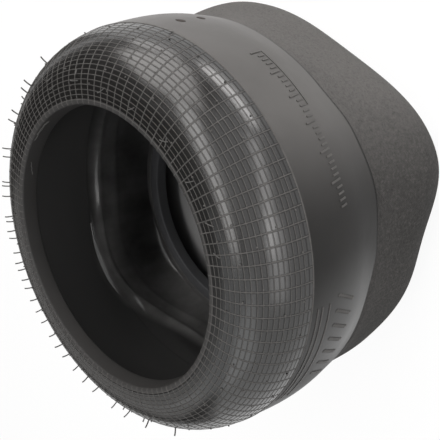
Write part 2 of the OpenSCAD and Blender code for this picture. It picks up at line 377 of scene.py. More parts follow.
def layer_ring(name, around, outer, inner, split, from_core, coarse_out, coarse_in, material,
               relief=None, ridge=None):
    """One layer of the wall between two depths under the outer surface. Its outer and inner
    faces take every so many steps of the profile, and a relief or ridge of their own."""
    s = bpy.context.scene.bellows_shape
    angles = np.arange(around) * 360 / around
    line = wall_line(s, angles)
    skipped = LIP_STEPS if from_core else 0
    first, last = skipped, line["r"].shape[1] - 1 - skipped
    there = [*range(first, last, coarse_out), last]
    back = [*range(first, last, coarse_in), last][::-1]
    loops = []
    for depth, picked, form, sign in ((outer, there, relief, -1), (inner, back, ridge, 1)):
        r, z, nr, nz, share = (line[key][:, picked] for key in ("r", "z", "nr", "nz", "share"))
        sunk = depth + split * (s.pocket - s.bond) * share
        if form:
            sunk = sunk + sign * form(s, angles[:, None], z)
        loops.append(placed(s, angles, r + nr * sunk, z + nz * sunk, z))
    points = np.concatenate(loops, 1)
    arcs = arcs_along(points[0])
    if outer == 0:
        count = len(there)
        arcs[:count] = line["arc"].mean(0)[there]
        arcs[count:] += arcs[count - 1] - arcs[count] + (inner - outer)
    return ring_mesh(name, points, arcs, material)


# ---- node trees ----


def maths(operation, turned=False):
    """A method that adds one Math node. Turned puts the other value first, as 1 - x needs."""
    def method(self, *others):
        values = (*others, self) if turned else (self, *others)
        return self.n.value("ShaderNodeMath", dict(enumerate(values)), operation=operation)

    return method


class Value:
    """A socket with arithmetic: an expression on values adds its Math nodes."""

    __add__ = __radd__ = maths("ADD")
    __sub__, __rsub__ = maths("SUBTRACT"), maths("SUBTRACT", turned=True)
    __mul__ = __rmul__ = maths("MULTIPLY")
    __truediv__ = maths("DIVIDE")
    sine, fraction, floor = maths("SINE"), maths("FRACT"), maths("FLOOR")
    most, arctan2 = maths("MAXIMUM"), maths("ARCTAN2")

    def __init__(self, n, socket):
        self.n, self.socket = n, socket

    def clamped(self):
        return self.n.value("ShaderNodeMath", {0: self, 1: 0.0}, operation="ADD", use_clamp=True)

    def above(self, edge, width):
        """0 below an edge and 1 above it, with a smooth step of that width."""
        return self.n.value(
            "ShaderNodeMapRange", {0: self, 1: edge - width / 2, 2: edge + width / 2},
            interpolation_type="SMOOTHSTEP")

    def hump(self, middle, half):
        """1 at a value and 0 from a half width away, with soft flanks."""
        off = (self - middle) / half
        inside = (1 - off * off).clamped()
        return inside * inside


class Nodes:
    """Adds nodes to one tree."""

    def __init__(self, tree):
        self.tree = tree

    def new(self, kind, inputs=None, **settings):
        node = self.tree.nodes.new(kind)
        for name, value in settings.items():
            setattr(node, name, value)
        for name, value in (inputs or {}).items():
            self.feed(node.inputs[name], value)
        return node

    def feed(self, socket, value):
        """Links an input to another socket, or sets it to a number, vector or colour."""
        if isinstance(value, Value):
            value = value.socket
        if isinstance(value, bpy.types.NodeSocket):
            self.tree.links.new(value, socket)
        else:
            socket.default_value = (*value, 1) if socket.type == "RGBA" else value

    def first(self, kind, inputs=None, **settings):
        """The first output of a new node."""
        return self.new(kind, inputs, **settings).outputs[0]

    def value(self, kind, inputs=None, output=0, **settings):
        return Value(self, self.new(kind, inputs, **settings).outputs[output])

    def blend(self, amount, a, b):
        """A colour from a to b."""
        return self.new("ShaderNodeMix", {0: amount, 6: a, 7: b}, data_type="RGBA").outputs[2]

    def join(self, x, y, z=0.0):
        return self.first("ShaderNodeCombineXYZ", {0: x, 1: y, 2: z})

    def axes(self, vector):
        """The three numbers of a vector."""
        parts = self.new("ShaderNodeSeparateXYZ", {0: vector}).outputs
        return [Value(self, part) for part in parts]


# ---- finishes ----

# Colours that dust, wear, painted shade and painted light blend in to the finishes
# Dark for the lobe's speckles, and for painted shadow and painted shade on the cover
DARK_SPECKLE_AND_SHADE = (0.006, 0.006, 0.006)
# Painted light: the band's paler tone on its +X side, where the key lamp falls
PAINTED_SIDE_LIGHT = (0.124, 0.12, 0.117)
WORN_PATCH = (0.085, 0.081, 0.078)
SPECKLE = (0.16, 0.152, 0.145)
RIB_DUST = (0.125, 0.12, 0.116)
# Painted light: the pale tone of the liner below the fold
PAINTED_DEEP_LIGHT = (0.28, 0.277, 0.274)
# Painted light: the lighter tone near the upper lip
LIP_PAINTED_LIGHT = (0.048, 0.0465, 0.0455)
# Painted light: the pale bluish tone of the lower bead
LOWER_BEAD_PAINTED_LIGHT = (0.13, 0.133, 0.142)

# Pitches of the lobe's cloth threads and the plies' cords, and the radii that they are counted at
CLOTH_PITCH, CLOTH_RADIUS = 1.15 * MM, 0.13
CORD_PITCH, CORD_RADIUS = 1.1 * MM, 0.122

# A spot of the band that shines
SHINY_SPOT = (-0.074, -0.1, 0.1)


class Finish(Nodes):
    """A new material: the place on the object, and the inputs of its Principled shader."""

    def __init__(self, name, specular=0.2):
        self.made = bpy.data.materials.new(name)
        self.made.use_nodes = True
        super().__init__(self.made.node_tree)
        self.shader = self.tree.nodes["Principled BSDF"]
        self.place = self.new("ShaderNodeTexCoord").outputs["Object"]
        self.set("Specular IOR Level", specular)

    def set(self, name, value):
        self.feed(self.shader.inputs[name], value)

    def noise(self, scale, detail=3.0, roughness=0.5, stretch=None):
        vector = self.place if stretch is None else self.first(
            "ShaderNodeVectorMath", {0: self.place, 1: stretch}, operation="MULTIPLY")
        return self.value("ShaderNodeTexNoise", {
            "Vector": vector, "Scale": scale, "Detail": detail, "Roughness": roughness})

    def bump(self, height, distance, strength):
        self.set("Normal", self.first("ShaderNodeBump", {
            "Height": height, "Distance": distance, "Strength": strength}))

    def wall(self):
        """U as turns and V as arc length in metres, from the wall's own UV map."""
        turn, along, _ = self.axes(self.first("ShaderNodeUVMap", uv_map="wall"))
        return turn, along * UV_SPAN


def colours():
    return bpy.context.scene.bellows_finish


def cover_rubber():
    """Glossy pads between the ribs, a satin band painted lighter on its +X side as painted light,
    and the cloth-marked lobe.
    """
    s, relief = bpy.context.scene.bellows_shape, bpy.context.scene.bellows_relief
    f = Finish("cover_rubber")
    turn, arc = f.wall()
    toe = s.toe + s.toe_gap
    in_band = arc.above(relief.edge_arc - toe, 0.4 * MM)
    below = f.value("ShaderNodeAttribute", output="Fac", attribute_name="below_step")
    in_lobe = below.above(0.0, 0.3 * MM)
    grid, smooth = 1 - in_band, in_band - in_lobe

    # Every pad is slightly domed, and tilted by chance
    pad_col, pad_row = turn * relief.rib_count, (arc + toe) / relief.row_pitch
    chance = f.new("ShaderNodeTexWhiteNoise", {"Vector": f.join(pad_col.floor(), pad_row.floor())},
                   noise_dimensions="2D")
    tilt_u, tilt_v, _ = (part - 0.5 for part in f.axes(chance.outputs["Color"]))
    across, along = pad_col.fraction() - 0.5, pad_row.fraction() - 0.5
    rim = (across * across).above(0.17, 0.06).most((along * along).above(0.12, 0.08))
    crown = 1 - (across * across) * 4 + (1 - (along * along) * 4) * 0.6
    pads = crown * 0.08 + across * tilt_u * 0.5 + along * tilt_v * 0.25

    fine, grain = f.noise(900.0, 4.0, 0.6), f.noise(420.0, 4.0, 0.7)
    wave, cloud = f.noise(55.0, 2.0), f.noise(16.0, 4.0, 0.6)
    thread_u = (turn * (math.tau * CLOTH_RADIUS / CLOTH_PITCH) * math.tau).sine()
    thread_v = (arc * (math.tau / CLOTH_PITCH)).sine()
    cloth = thread_u * thread_v * 0.12 + f.noise(700.0, 3.0, 0.7) * 0.6
    f.bump(grid * pads * 0.6 + smooth * (wave * 0.3 + fine * 0.035)
           + in_lobe * (cloth + grain * 0.5), 1.0 * MM, 0.9)

    dust = (cloud - 0.5) * 0.5
    base = f.blend(in_band, colours().pad, colours().band)
    base = f.blend(in_lobe, base, colours().lobe)
    # Painted light: the band is painted lighter in clouds on its +X side, where the key lamp falls
    sideways = f.axes(f.place)[0]
    lit_side_mask = (in_band * sideways.above(2 * MM, 62 * MM) * (0.6 + cloud * 0.6)).clamped()
    base = f.blend(lit_side_mask, base, PAINTED_SIDE_LIGHT)
    patches = f.blend((dust * 1.6 + 0.3).clamped(), base, WORN_PATCH)
    speckle = in_lobe * ((grain - 0.5) * 1.2 + (fine - 0.5) * 1.2 + (cloud - 0.5) * 0.4)
    toned = f.blend((in_band * 0.2).clamped(), base, patches)
    toned = f.blend(speckle.clamped(), toned, SPECKLE)
    # Painted shadow along the band's lower edge, and painted shade at the pads' rims beside the
    # ribs; the lobe's dark speckles are its own tone
    painted_step_shadow = ((1 - below * below / (2 * MM) ** 2) * (0.5 + fine)).clamped()
    dark = (speckle * -0.8).clamped().most(painted_step_shadow * 0.9).most(rim * grid * 0.25)
    f.set("Base Color", f.blend(dark, toned, DARK_SPECKLE_AND_SHADE))

    f.set("Roughness", (
        0.3 + grid * (tilt_u * 0.1 + fine * 0.06 + rim * 0.3) + smooth * (0.12 + dust * 0.12)
        + in_lobe * (0.4 + grain * 0.15)).clamped())
    from_spot = f.value(
        "ShaderNodeVectorMath", {0: f.place, 1: SHINY_SPOT}, output=1, operation="DISTANCE")
    shine = smooth * (1 - from_spot.above(28 * MM, 30 * MM))
    f.set("Coat Weight", (
        grid * (1 - rim * 0.5) + smooth * (0.08 + dust * 0.3) + shine * 0.4).clamped())
    f.set("Coat Roughness", 0.22)
    f.set("Coat IOR", 1.6)
    f.set("Specular IOR Level", 0.05)
    return f.made


def rib_rubber():
    f = Finish("rib_rubber")
    mottle = f.noise(130.0, 4.0, 0.65)
    f.set("Base Color", f.blend(mottle, colours().rib, RIB_DUST))
    f.set("Roughness", mottle * 0.2 + 0.4)
    f.bump(f.noise(1500.0, 2.0), 0.1 * MM, 0.5)
    return f.made


def mottled(name, grain, shades, roughness, distance, strength):
    """A finish whose colour, roughness and bump all follow one noise: roughness gives the
    noise's share and the lowest value."""
    f = Finish(name)
    mottle = f.noise(*grain)
    f.set("Base Color", f.blend(mottle, *shades))
    f.set("Roughness", mottle * roughness[0] + roughness[1])
    f.bump(mottle, distance, strength)
    return f.made


def spew_rubber():
    shades = (0.07, 0.068, 0.066), (0.15, 0.147, 0.143)
    return mottled("spew_rubber", (400.0, 3.0, 0.6), shades, (0.2, 0.35), 0.05 * MM, 0.4)


def dab_rubber():
    shades = (0.02, 0.016, 0.014), (0.045, 0.036, 0.032)
    return mottled("dab_rubber", (300.0, 3.0), shades, (0.2, 0.5), 0.1 * MM, 0.4)


def filler_rubber():
    shades = FINISHES["filler_rubber"], (0.09, 0.08, 0.07)
    return mottled("filler_rubber", (350.0, 4.0, 0.6), shades, (0.15, 0.72), 0.15 * MM, 0.5)


def liner_rubber():
    """Glossy rubber, painted pale from the fold downwards as painted light that stands for light
    coming in through the lower mouth.
    """
    f = Finish("liner_rubber")
    x, y, high = f.axes(f.place)
    turn = y.arctan2(x) * math.degrees(1.0)
    # The fold's height, close to FOLD_LINE: level, with a rise and a dip on the far side
    fold = 69 * MM + turn.hump(95, 26) * (9 * MM) - turn.hump(144, 34) * (24 * MM)
    # Painted light: below the fold the liner is painted pale in place of light coming in through
    # the lower mouth
    deep = 1 - high.above(fold + 5 * MM, 12 * MM)
    cloud = f.noise(22.0, 4.0, 0.6)
    streak = f.noise(60.0, 3.0, stretch=(1.0, 1.0, 0.35))
    deep_light_mask = (deep * (0.6 + (cloud - 0.5) * 1.1 + (streak - 0.5) * 0.8)).clamped()
    f.set("Base Color", f.blend(deep_light_mask, colours().liner, PAINTED_DEEP_LIGHT))
    f.set("Roughness", cloud * 0.16 + 0.3)
    f.set("Coat Weight", 1.0)
    f.set("Coat Roughness", 0.22)
    f.bump(streak * 0.5 + f.noise(700.0) * 0.05, 0.6 * MM, 0.5)
    return f.made


def chafer_rubber():
    """Rubbered fabric: its threads show, the upper lip is painted lighter as painted light on its
    inner face, and the lower bead is painted pale as painted light from the lower mouth.
    """
    f = Finish("chafer_rubber")
    high = f.axes(f.place)[2]
    cloud = f.noise(60.0, 4.0, 0.6)
    # Painted light: lighter near the upper lip, where light falls on its inner face, and pale on
    # the lower bead, in place of light through the lower mouth
    near_lip, deep = high.above(144 * MM, 10 * MM), 1 - high.above(80 * MM, 30 * MM)
    toned = f.blend((near_lip * (0.7 + cloud * 0.6)).clamped(), colours().chafer, LIP_PAINTED_LIGHT)
    f.set("Base Color", f.blend((deep * (cloud * 0.6 + 0.4)).clamped(), toned, LOWER_BEAD_PAINTED_LIGHT))
    f.set("Roughness", cloud * 0.15 + 0.42)
    turn, arc = f.wall()
    count, pitch = 540, 1 * MM  # of the threads round the bead, and along its profile
    threads = (turn * (math.tau * count)).sine() * (arc * (math.tau / pitch)).sine()
    f.bump(threads * 0.2 + cloud * 0.4, 0.15 * MM, 0.5)
    return f.made


def cord_ply(name, slant):
    """Rubber-coated cords that run at a bias angle round the sleeve."""
    f = Finish(name)
    turn, arc = f.wall()
    around = turn * (math.tau * CORD_RADIUS)
    cords = ((around * 0.55 * slant + arc) * (math.tau / CORD_PITCH)).sine() * 0.5 + 0.5
    fuzz = f.noise(500.0, 4.0, 0.7)
    f.set("Base Color", f.blend(
        (cords * 0.8 + fuzz * 0.3).clamped(), (0.06, 0.05, 0.035), FINISHES["cord_ply"]))
    f.set("Roughness", fuzz * 0.2 + 0.65)
    f.bump(cords + fuzz * 0.2, 0.3 * MM, 0.7)
    return f.made


def bead_wire():
    f = Finish("bead_wire")
    scratch = f.noise(420.0, 4.0, 0.7, stretch=(1.0, 1.0, 14.0))
    f.set("Base Color", f.blend(scratch, FINISHES["bead_wire"], (0.45, 0.33, 0.2)))
    f.set("Metallic", 1.0)
    f.set("Roughness", scratch * 0.25 + 0.2)
    f.bump(scratch, 0.05 * MM, 0.5)
    return f.made


def wrap_fabric():
    f = Finish("wrap_fabric")
    x, y, z = ((part * (math.tau / (0.8 * MM))).sine() for part in f.axes(f.place))
    weave = x * y + z * 0.5
    fuzz = f.noise(700.0)
    f.set("Base Color", f.blend(
        (weave * 0.3 + fuzz * 0.5).clamped(), (0.16, 0.14, 0.1), FINISHES["wrap_fabric"]))
    f.set("Roughness", fuzz * 0.2 + 0.7)
    f.bump(weave * 0.4 + fuzz * 0.3, 0.2 * MM, 0.6)
    return f.made


# ---- geometry node trees ----


class Tree(Nodes):
    """A geometry tree with a Material input and others, each named with its default."""

    def __init__(self, name, **inputs):
        super().__init__(bpy.data.node_groups.new(name, "GeometryNodeTree"))
        socket = self.tree.interface.new_socket
        socket("Geometry", in_out="INPUT", socket_type="NodeSocketGeometry")
        socket("Material", in_out="INPUT", socket_type="NodeSocketMaterial")
        for label, default in inputs.items():
            kind = "NodeSocketInt" if isinstance(default, int) else "NodeSocketFloat"
            socket(label, in_out="INPUT", socket_type=kind).default_value = default
        socket("Geometry", in_out="OUTPUT", socket_type="NodeSocketGeometry")
        self.given = self.new("NodeGroupInput").outputs
        self.leave = self.new("NodeGroupOutput")

    def named(self, name, data_type="FLOAT_VECTOR"):
        return self.first("GeometryNodeInputNamedAttribute", {"Name": name}, data_type=data_type)

    def circle(self, steps, radius):
        return self.first("GeometryNodeCurvePrimitiveCircle",
                          {"Resolution": steps, "Radius": radius}, mode="RADIUS")

    def tube(self, curve, radius):
        """A solid round rod along a curve."""
        return self.first("GeometryNodeCurveToMesh", {
            "Curve": curve, "Profile Curve": self.circle(6, radius), "Fill Caps": True})

    def repeat(self, points, instance, **how):
        return self.first("GeometryNodeInstanceOnPoints", {
            "Points": points, "Instance": instance, **how})

    def real(self, geometry):
        return self.first("GeometryNodeRealizeInstances", {0: geometry})

    def finished(self, geometry, smooth=True):
        """The tree, ended by real geometry, its shading and the material of the Material input."""
        shaded = self.first("GeometryNodeSetShadeSmooth", {
            "Geometry": self.real(geometry), "Shade Smooth": smooth})
        self.feed(self.leave.inputs[0], self.first("GeometryNodeSetMaterial", {
            "Geometry": shaded, "Material": self.given["Material"]}))
        return self.tree


def grown(name, tree, mesh, inputs):
    """Runs a geometry tree on a mesh and keeps the result as a plain mesh object."""
    obj = bpy.data.objects.new(name, mesh)
    bpy.context.scene.collection.objects.link(obj)
    modifier = obj.modifiers.new(name, "NODES")
    modifier.node_group = tree
    for item in tree.interface.items_tree:
        if item.in_out == "INPUT" and item.name in inputs:
            modifier[item.identifier] = inputs[item.name]
    bpy.context.view_layer.update()
    evaluated = obj.evaluated_get(bpy.context.evaluated_depsgraph_get())
    result = bpy.data.meshes.new_from_object(evaluated)
    obj.modifiers.clear()
    obj.data = result
    result.name = name
    if not len(result.vertices):
        raise RuntimeError(f"{name} came out empty")
    return obj


def path_mesh(name, points):
    mesh = bpy.data.meshes.new(name)
    mesh.from_pydata(points, [(i, i + 1) for i in range(len(points) - 1)], [])
    return mesh


def spots_mesh(name, spots):
    """Loose points, each with the way that its copy faces and the copy's size."""
    places, ways, sizes = zip(*spots)
    mesh = bpy.data.meshes.new(name)
    mesh.from_pydata(places, [], [])
    for label, values in (("way", ways), ("size", sizes)):
        mesh.attributes.new(label, "FLOAT_VECTOR", "POINT").data.foreach_set(
            "vector", np.array(values, np.float32).ravel())
    return mesh


def rib_grid_tree():
    """Ribs along a path that is turned round the axis, and rings where each row crosses it."""
    n = Tree("rib_grid", ribs=108, rows=19, row_pitch=2.5 * MM, rib_radius=0.4 * MM,
             ring_radius=0.3 * MM, round_steps=216)
    path = n.first("GeometryNodeMeshToCurve", {"Mesh": n.given["Geometry"]})
    index = n.value("GeometryNodeInputIndex")
    turned = n.join(0.0, 0.0, index * math.tau / Value(n, n.given["ribs"]))
    ribs = n.repeat(
        n.first("GeometryNodePoints", {"Count": n.given["ribs"]}),
        n.tube(path, n.given["rib_radius"]), Rotation=turned)

    crossing = n.new("GeometryNodeSampleCurve", {
        "Curves": path, "Length": (index + 1.0) * Value(n, n.given["row_pitch"])},
        mode="LENGTH", use_all_curves=True)
    out, _, high = n.axes(crossing.outputs["Position"])
    marks = n.first("GeometryNodeStoreNamedAttribute", {
        "Geometry": n.first("GeometryNodePoints", {"Count": n.given["rows"]}),
        "Name": "reach", "Value": out}, data_type="FLOAT", domain="POINT")
    raised = n.first("GeometryNodeSetPosition", {
        "Geometry": marks, "Position": n.join(0.0, 0.0, high)})
    reach = n.named("reach", "FLOAT")
    circles = n.real(n.repeat(
        raised, n.circle(n.given["round_steps"], 1.0), Scale=n.join(reach, reach, 1.0)))
    both = n.new("GeometryNodeJoinGeometry")
    n.feed(both.inputs[0], ribs)
    n.feed(both.inputs[0], n.tube(circles, n.given["ring_radius"]))
    return n.finished(both.outputs[0])


def whisker_tree():
    """A bent, tapered whisker on every point, along the point's own way."""
    n = Tree("whiskers", radius=0.4 * MM, bend=0.12)
    line = n.first("GeometryNodeCurvePrimitiveBezierSegment", {
        "Resolution": 5, "Start": (0.0, 0.0, -0.12), "Start Handle": (0.0, 0.0, 0.3),
        "End Handle": (0.0, 0.0, 0.7), "End": n.join(n.given["bend"], 0.0, 1.0)}, mode="POSITION")
    along = n.value("GeometryNodeSplineParameter", output="Factor")
    facing = n.first("FunctionNodeAlignRotationToVector", {"Vector": n.named("way")}, axis="Z")
    stood = n.real(n.repeat(
        n.given["Geometry"], line, Rotation=facing, Scale=n.named("size")))
    tapered = n.first("GeometryNodeSetCurveRadius", {
        "Curve": stood, "Radius": 1.25 - along * along * 0.65})
    return n.finished(n.tube(tapered, n.given["radius"]))


def bars_tree():
    """A low bar on every point, turned to face out and scaled by the point's own size."""
    n = Tree("bars")
    block = n.first("GeometryNodeMeshCube", {
        "Size": (1.0, 1.0, 1.0), "Vertices X": 2, "Vertices Y": 3, "Vertices Z": 2})
    facing = n.first("FunctionNodeAlignRotationToVector", {"Vector": n.named("way")}, axis="X")
    return n.finished(
        n.repeat(n.given["Geometry"], block, Rotation=facing, Scale=n.named("size")), smooth=False)


# ---- placing things on the outer surface ----


class Surface:
    """The outer surface above the lobe: points and outward normals by direction and by arc length
    from the bore. Its line is the near side's, which hardly differs from the others up there."""

    def __init__(self):
        self.s = bpy.context.scene.bellows_shape
        line = wall_line(self.s, np.array([270.0]))
        self.arc = np.append(0.0, line["arc"][0] + self.s.toe + self.s.toe_gap)
        self.lines = (
            np.append(self.s.top_bore, line["r"][0]), np.append(self.s.height, line["z"][0]),
            -np.append(0.0, line["nr"][0]), -np.append(-1.0, line["nz"][0]))

    def at(self, degrees, arc, proud=0.0):
        a = math.radians(degrees)
        r, z, nr, nz = (float(np.interp(arc, self.arc, values)) for values in self.lines)
        size = math.hypot(nr, nz)
        out = Vector((nr * math.cos(a), nr * math.sin(a), nz)) / size
        lean = float(lean_at(self.s, np.array([z]))[0])
        proud += float(relief_at(self.s, np.array([degrees]), np.array([z]))[0])
        return Vector((r * math.cos(a) + lean, r * math.sin(a), z)) + out * proud, out


def leaned(mesh):
    """Leans a mesh that was made round the axis as the wall leans."""
    s = bpy.context.scene.bellows_shape
    co = np.zeros(len(mesh.vertices) * 3, np.float32)
    mesh.vertices.foreach_get("co", co)
    co = co.reshape(-1, 3)
    co[:, 0] += lean_at(s, co[:, 2])
    mesh.vertices.foreach_set("co", co.ravel())


def bend_with_stroke(obj):
    """Bakes a wall piece's placement into its mesh."""
    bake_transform(obj)


# ---- stage ----

CAMERA_PLACE = (-0.0068, -0.2295, 0.2973)
CAMERA_RIGHT, CAMERA_UP = Vector((-0.3607, -0.6781, -0.6405)), Vector((0.9327, -0.2622, -0.2477))

# Where the lamps point, and for each its name, the direction and distance of its middle, the
# direction of its long side, its size, its share of the light and its tint
LAMP_AIM = Vector((0, 0, 0.09))
LAMPS = (
    ("key", (0.87, -0.22, 0.42), 1.2, (0, 1, 0.2), (0.85, 0.75), 0.32, (1, 0.975, 0.955)),
    ("low_strip", (0.97, -0.12, 0.03), 1.2, (0, 1, 0), (0.5, 0.16), 0.04, (1, 0.975, 0.965)),
    ("near_strip", (0.66, -0.74, -0.06), 0.57, (1, 1, 0), (0.34, 0.08), 0.03, (1, 0.975, 0.965)),
    ("top_strip", (0.26, -0.17, 0.95), 1.2, (1, -0.4, -0.25), (1.4, 0.34), 0.3, (1, 0.985, 0.97)),
    ("front_strip", (-0.03, -0.93, 0.33), 1.2, (0.6, -0.13, -0.3), (1.3, 0.24), 0.13,
     (1, 0.98, 0.97)),
    ("left_strip", (-0.5, -0.78, 0.38), 1.2, (0.8, -0.5, 0), (0.8, 0.5), 0.085, (1, 0.985, 0.98)),
    ("fill", (-0.5, 0.25, 0.82), 1.2, (0.5, 0.86, 0), (1.3, 1), 0.14, (0.97, 0.99, 1)),
    ("back_strip", (-0.25, 0.86, 0.43), 1.2, (1, 0.3, 0), (1.3, 0.5), 0.045, (1, 0.985, 0.97)))

# Dark flags: name, size, place, and the axis that an upright one is turned about
FLAGS = (
    ("flag_far", 5.0, (0.0, 1.6, 1.0), "X"), ("flag_high", 2.2, (0.0, 0.6, 1.9), None),
    ("flag_low", 0.6, (0.42, 0.47, 0.0008), None), ("flag_side", 3.6, (1.8, 0.0, 1.0), "Y"))


def plain(name, shade):
    """A matt grey finish."""
    f = Finish(name, specular=0.5)
    f.set("Base Color", (shade, shade, shade))
    f.set("Roughness", 0.9)
    return f


def seen(n):
    """1 for rays that show the background: from the camera, in a reflection or through glass."""
    path = n.new("ShaderNodeLightPath").outputs
    camera, glossy, through = (Value(n, path[f"Is {kind} Ray"]) for kind in (
        "Camera", "Glossy", "Transmission"))
    return camera.most(glossy).most(through)


def sheet(name, size, place, surface, corners=4):
    """A flat staged sheet, round where it has many corners."""
    ways = [math.tau * (k + 0.5) / corners for k in range(corners)]
    reach = size / 2 / math.cos(math.pi / corners)
    mesh = bpy.data.meshes.new(name)
    mesh.from_pydata([(reach * math.cos(a), reach * math.sin(a), 0) for a in ways],
                     [], [tuple(range(corners))])
    mesh.transform(place)
    mesh.materials.append(surface.made)
    obj = bpy.data.objects.new(name, mesh)
    bpy.context.scene.collection.objects.link(obj)
    return obj


# ---- operators ----


class BELLOWS_OT_studio(bpy.types.Operator):
    """Camera, pale floor, world, lamps and dark flags"""

    bl_idname = "bellows.studio"
    bl_label = "Studio"

    def execute(self, context):
        studio = context.scene.bellows_studio
        context.scene.view_settings.view_transform = "Standard"
        self.camera(context, studio)
        for lamp in LAMPS:
            self.lamp(context, studio, *lamp)

        world = bpy.data.worlds.new("studio")
        world.use_nodes = True
        context.scene.world = world
        n = Nodes(world.node_tree)
        background = world.node_tree.nodes["Background"]
        n.feed(background.inputs["Strength"], seen(n) * (1 - studio.ambient) + studio.ambient)
        n.feed(background.inputs["Color"], (1, 1, 1))

        floor = plain("pale_floor", 0.85)
        evened = 0.88  # how far the background's plain white covers the floor's own shading
        white = floor.first("ShaderNodeEmission", {"Color": (1, 1, 1), "Strength": studio.floor})
        floor.feed(floor.tree.nodes["Material Output"].inputs[0], floor.first(
            "ShaderNodeMixShader",
            {0: seen(floor) * evened, 1: floor.shader.outputs[0], 2: white}))
        sheet("floor", 6.0, Matrix.Identity(4), floor)
        # Painted shade: a grey disc on the floor inside the lower bore darkens what shows through
        # the far mouth
        card = Matrix.Translation((0, 0, 0.0004))
        sheet("grey_card", 0.2224, card, plain("grey_card", 0.36), corners=64)
        dark = plain("dark_flag", 0.012)
        for name, size, place, axis in FLAGS:
            turned = Matrix.Rotation(math.radians(90 if axis else 0), 4, axis or "Z")
            flag = sheet(name, size, Matrix.Translation(place) @ turned, dark)
            flag.visible_camera = flag.visible_diffuse = flag.visible_shadow = False
        return {"FINISHED"}

    @staticmethod
    def camera(context, studio):
        data = bpy.data.cameras.new("camera")
        data.lens, data.sensor_width = studio.lens, 36.0
        data.clip_start, data.clip_end = 0.01, 50.0
        camera = bpy.data.objects.new("camera", data)
        context.scene.collection.objects.link(camera)
        back = CAMERA_RIGHT.cross(CAMERA_UP).normalized()
        up = back.cross(CAMERA_RIGHT).normalized()
        axes = Matrix((CAMERA_RIGHT.normalized(), up, back)).transposed()
        camera.matrix_world = Matrix.Translation(CAMERA_PLACE) @ axes.to_4x4()
        context.scene.camera = camera

    @staticmethod
    def lamp(context, studio, name, way, far, side, size, share, tint):
        light = bpy.data.lights.new(name, "AREA")
        light.shape, light.size, light.size_y = "RECTANGLE", size[0], size[1]
        light.energy, light.color = studio.light * share, tint
        lamp = bpy.data.objects.new(name, light)
        back = Vector(way).normalized()
        x = Vector(side)
        x = (x - back * x.dot(back)).normalized()
        turned = Matrix((x, back.cross(x), back)).transposed().to_4x4()
        lamp.matrix_world = Matrix.Translation(back * far + LAMP_AIM) @ turned
        lamp.visible_camera = False
        context.scene.collection.objects.link(lamp)


class BELLOWS_OT_cover(bpy.types.Operator):
    """Outer rubber cover with its smooth band, step and cloth-marked lobe"""

    bl_idname = "bellows.cover"
    bl_label = "Cover"

    def execute(self, context):
        s = context.scene.bellows_shape
        cover = layer_ring("outer_cover_skin", 288, 0.0, s.cover, 0, False, 1, 4, cover_rubber(),
                           relief_at)
        co = np.array([v.co for v in cover.data.vertices])
        turned = np.degrees(np.arctan2(co[:, 1], co[:, 0] - lean_at(s, co[:, 2])))
        below = cover.data.attributes.new("below_step", "FLOAT", "POINT")
        below.data.foreach_set("value", (step_at(turned) - co[:, 2]).astype(np.float32))
        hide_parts("outer_cover")
        bend_with_stroke(cover)
        return {"FINISHED"}


class BELLOWS_OT_plies(bpy.types.Operator):
    """Two cord plies, which cross at opposite bias angles"""

    bl_idname = "bellows.plies"
    bl_label = "Cord plies"

    def execute(self, context):
        s = context.scene.bellows_shape
        depth = s.cover + s.bond
        for node, split, slant in (("outer_cord_ply", 0, 1), ("inner_cord_ply", 1, -1)):
            ply = layer_ring(node + "_cords", 144, depth, depth + s.ply, split, False, 2, 2,
                             cord_ply(node + "_finish", slant))
            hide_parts(node)
            bend_with_stroke(ply)
            depth += s.ply + s.bond
        return {"FINISHED"}


class BELLOWS_OT_liner(bpy.types.Operator):
    """Airtight inner liner"""

    bl_idname = "bellows.liner"
    bl_label = "Liner"

    def execute(self, context):
        s = context.scene.bellows_shape
        depth = s.cover + 2 * s.ply + 3 * s.bond
        liner = layer_ring("inner_liner_skin", 240, depth, depth + s.liner, 1, True, 4, 1,
                           liner_rubber(), ridge=ridge_at)
        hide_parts("inner_liner")
        bend_with_stroke(liner)
        return {"FINISHED"}


class BELLOWS_OT_chafers(bpy.types.Operator):
    """Chafer strips that form the lip, the seat and the inside edge of both beads"""

    bl_idname = "bellows.chafers"
    bl_label = "Chafers"

    def execute(self, context):
        s = context.scene.bellows_shape
        finish = chafer_rubber()
        ply_in = s.cover + s.bond + s.ply
        bead = s.cover + 2 * s.ply + 3 * s.bond + s.liner + s.pocket - s.bond
        inside, end = bead - s.liner, s.core - s.toe_gap
        soft = 0.4 * MM  # rounding where the lip meets the cover

        def arc(x, y, radius, start, stop, count=7):
            return [(x + radius * math.cos(a), y + radius * math.sin(a))
                    for a in np.radians(np.linspace(start, stop, count))]

        loop = [(s.lip_round + 0.5 * MM, 0.0), *arc(s.toe - soft, soft, soft, -90, 0, 4),
                (s.toe, ply_in), (s.chafer, ply_in), (s.chafer, ply_in + s.pocket),
                (s.toe, ply_in + s.pocket), (s.toe, inside), (end, inside), (end, bead),
                *arc(s.heel_round, bead - s.heel_round, s.heel_round, 90, 180),
                *arc(s.lip_round, s.lip_round, s.lip_round, 180, 270)]
        for node, bore, base, flip, body in (
                ("top_chafer", s.top_bore, s.height, -1, "plate_end"),
                ("bottom_chafer", s.bottom_bore, s.bottom_recess, 1, "piston_end")):
            points = loop if flip < 0 else loop[::-1]
            a = np.radians(np.arange(256) * 360 / 256)[:, None]
            r = np.array([bore + x for x, _ in points])[None]
            z = np.array([base + flip * h for _, h in points])[None] + 0 * a
            ring = np.stack([r * np.cos(a), r * np.sin(a), z], -1)
            strip = ring_mesh(node + "_strip", ring, arcs_along(ring[0]), finish, 40)
            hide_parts(node)
            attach(strip, body)
        return {"FINISHED"}


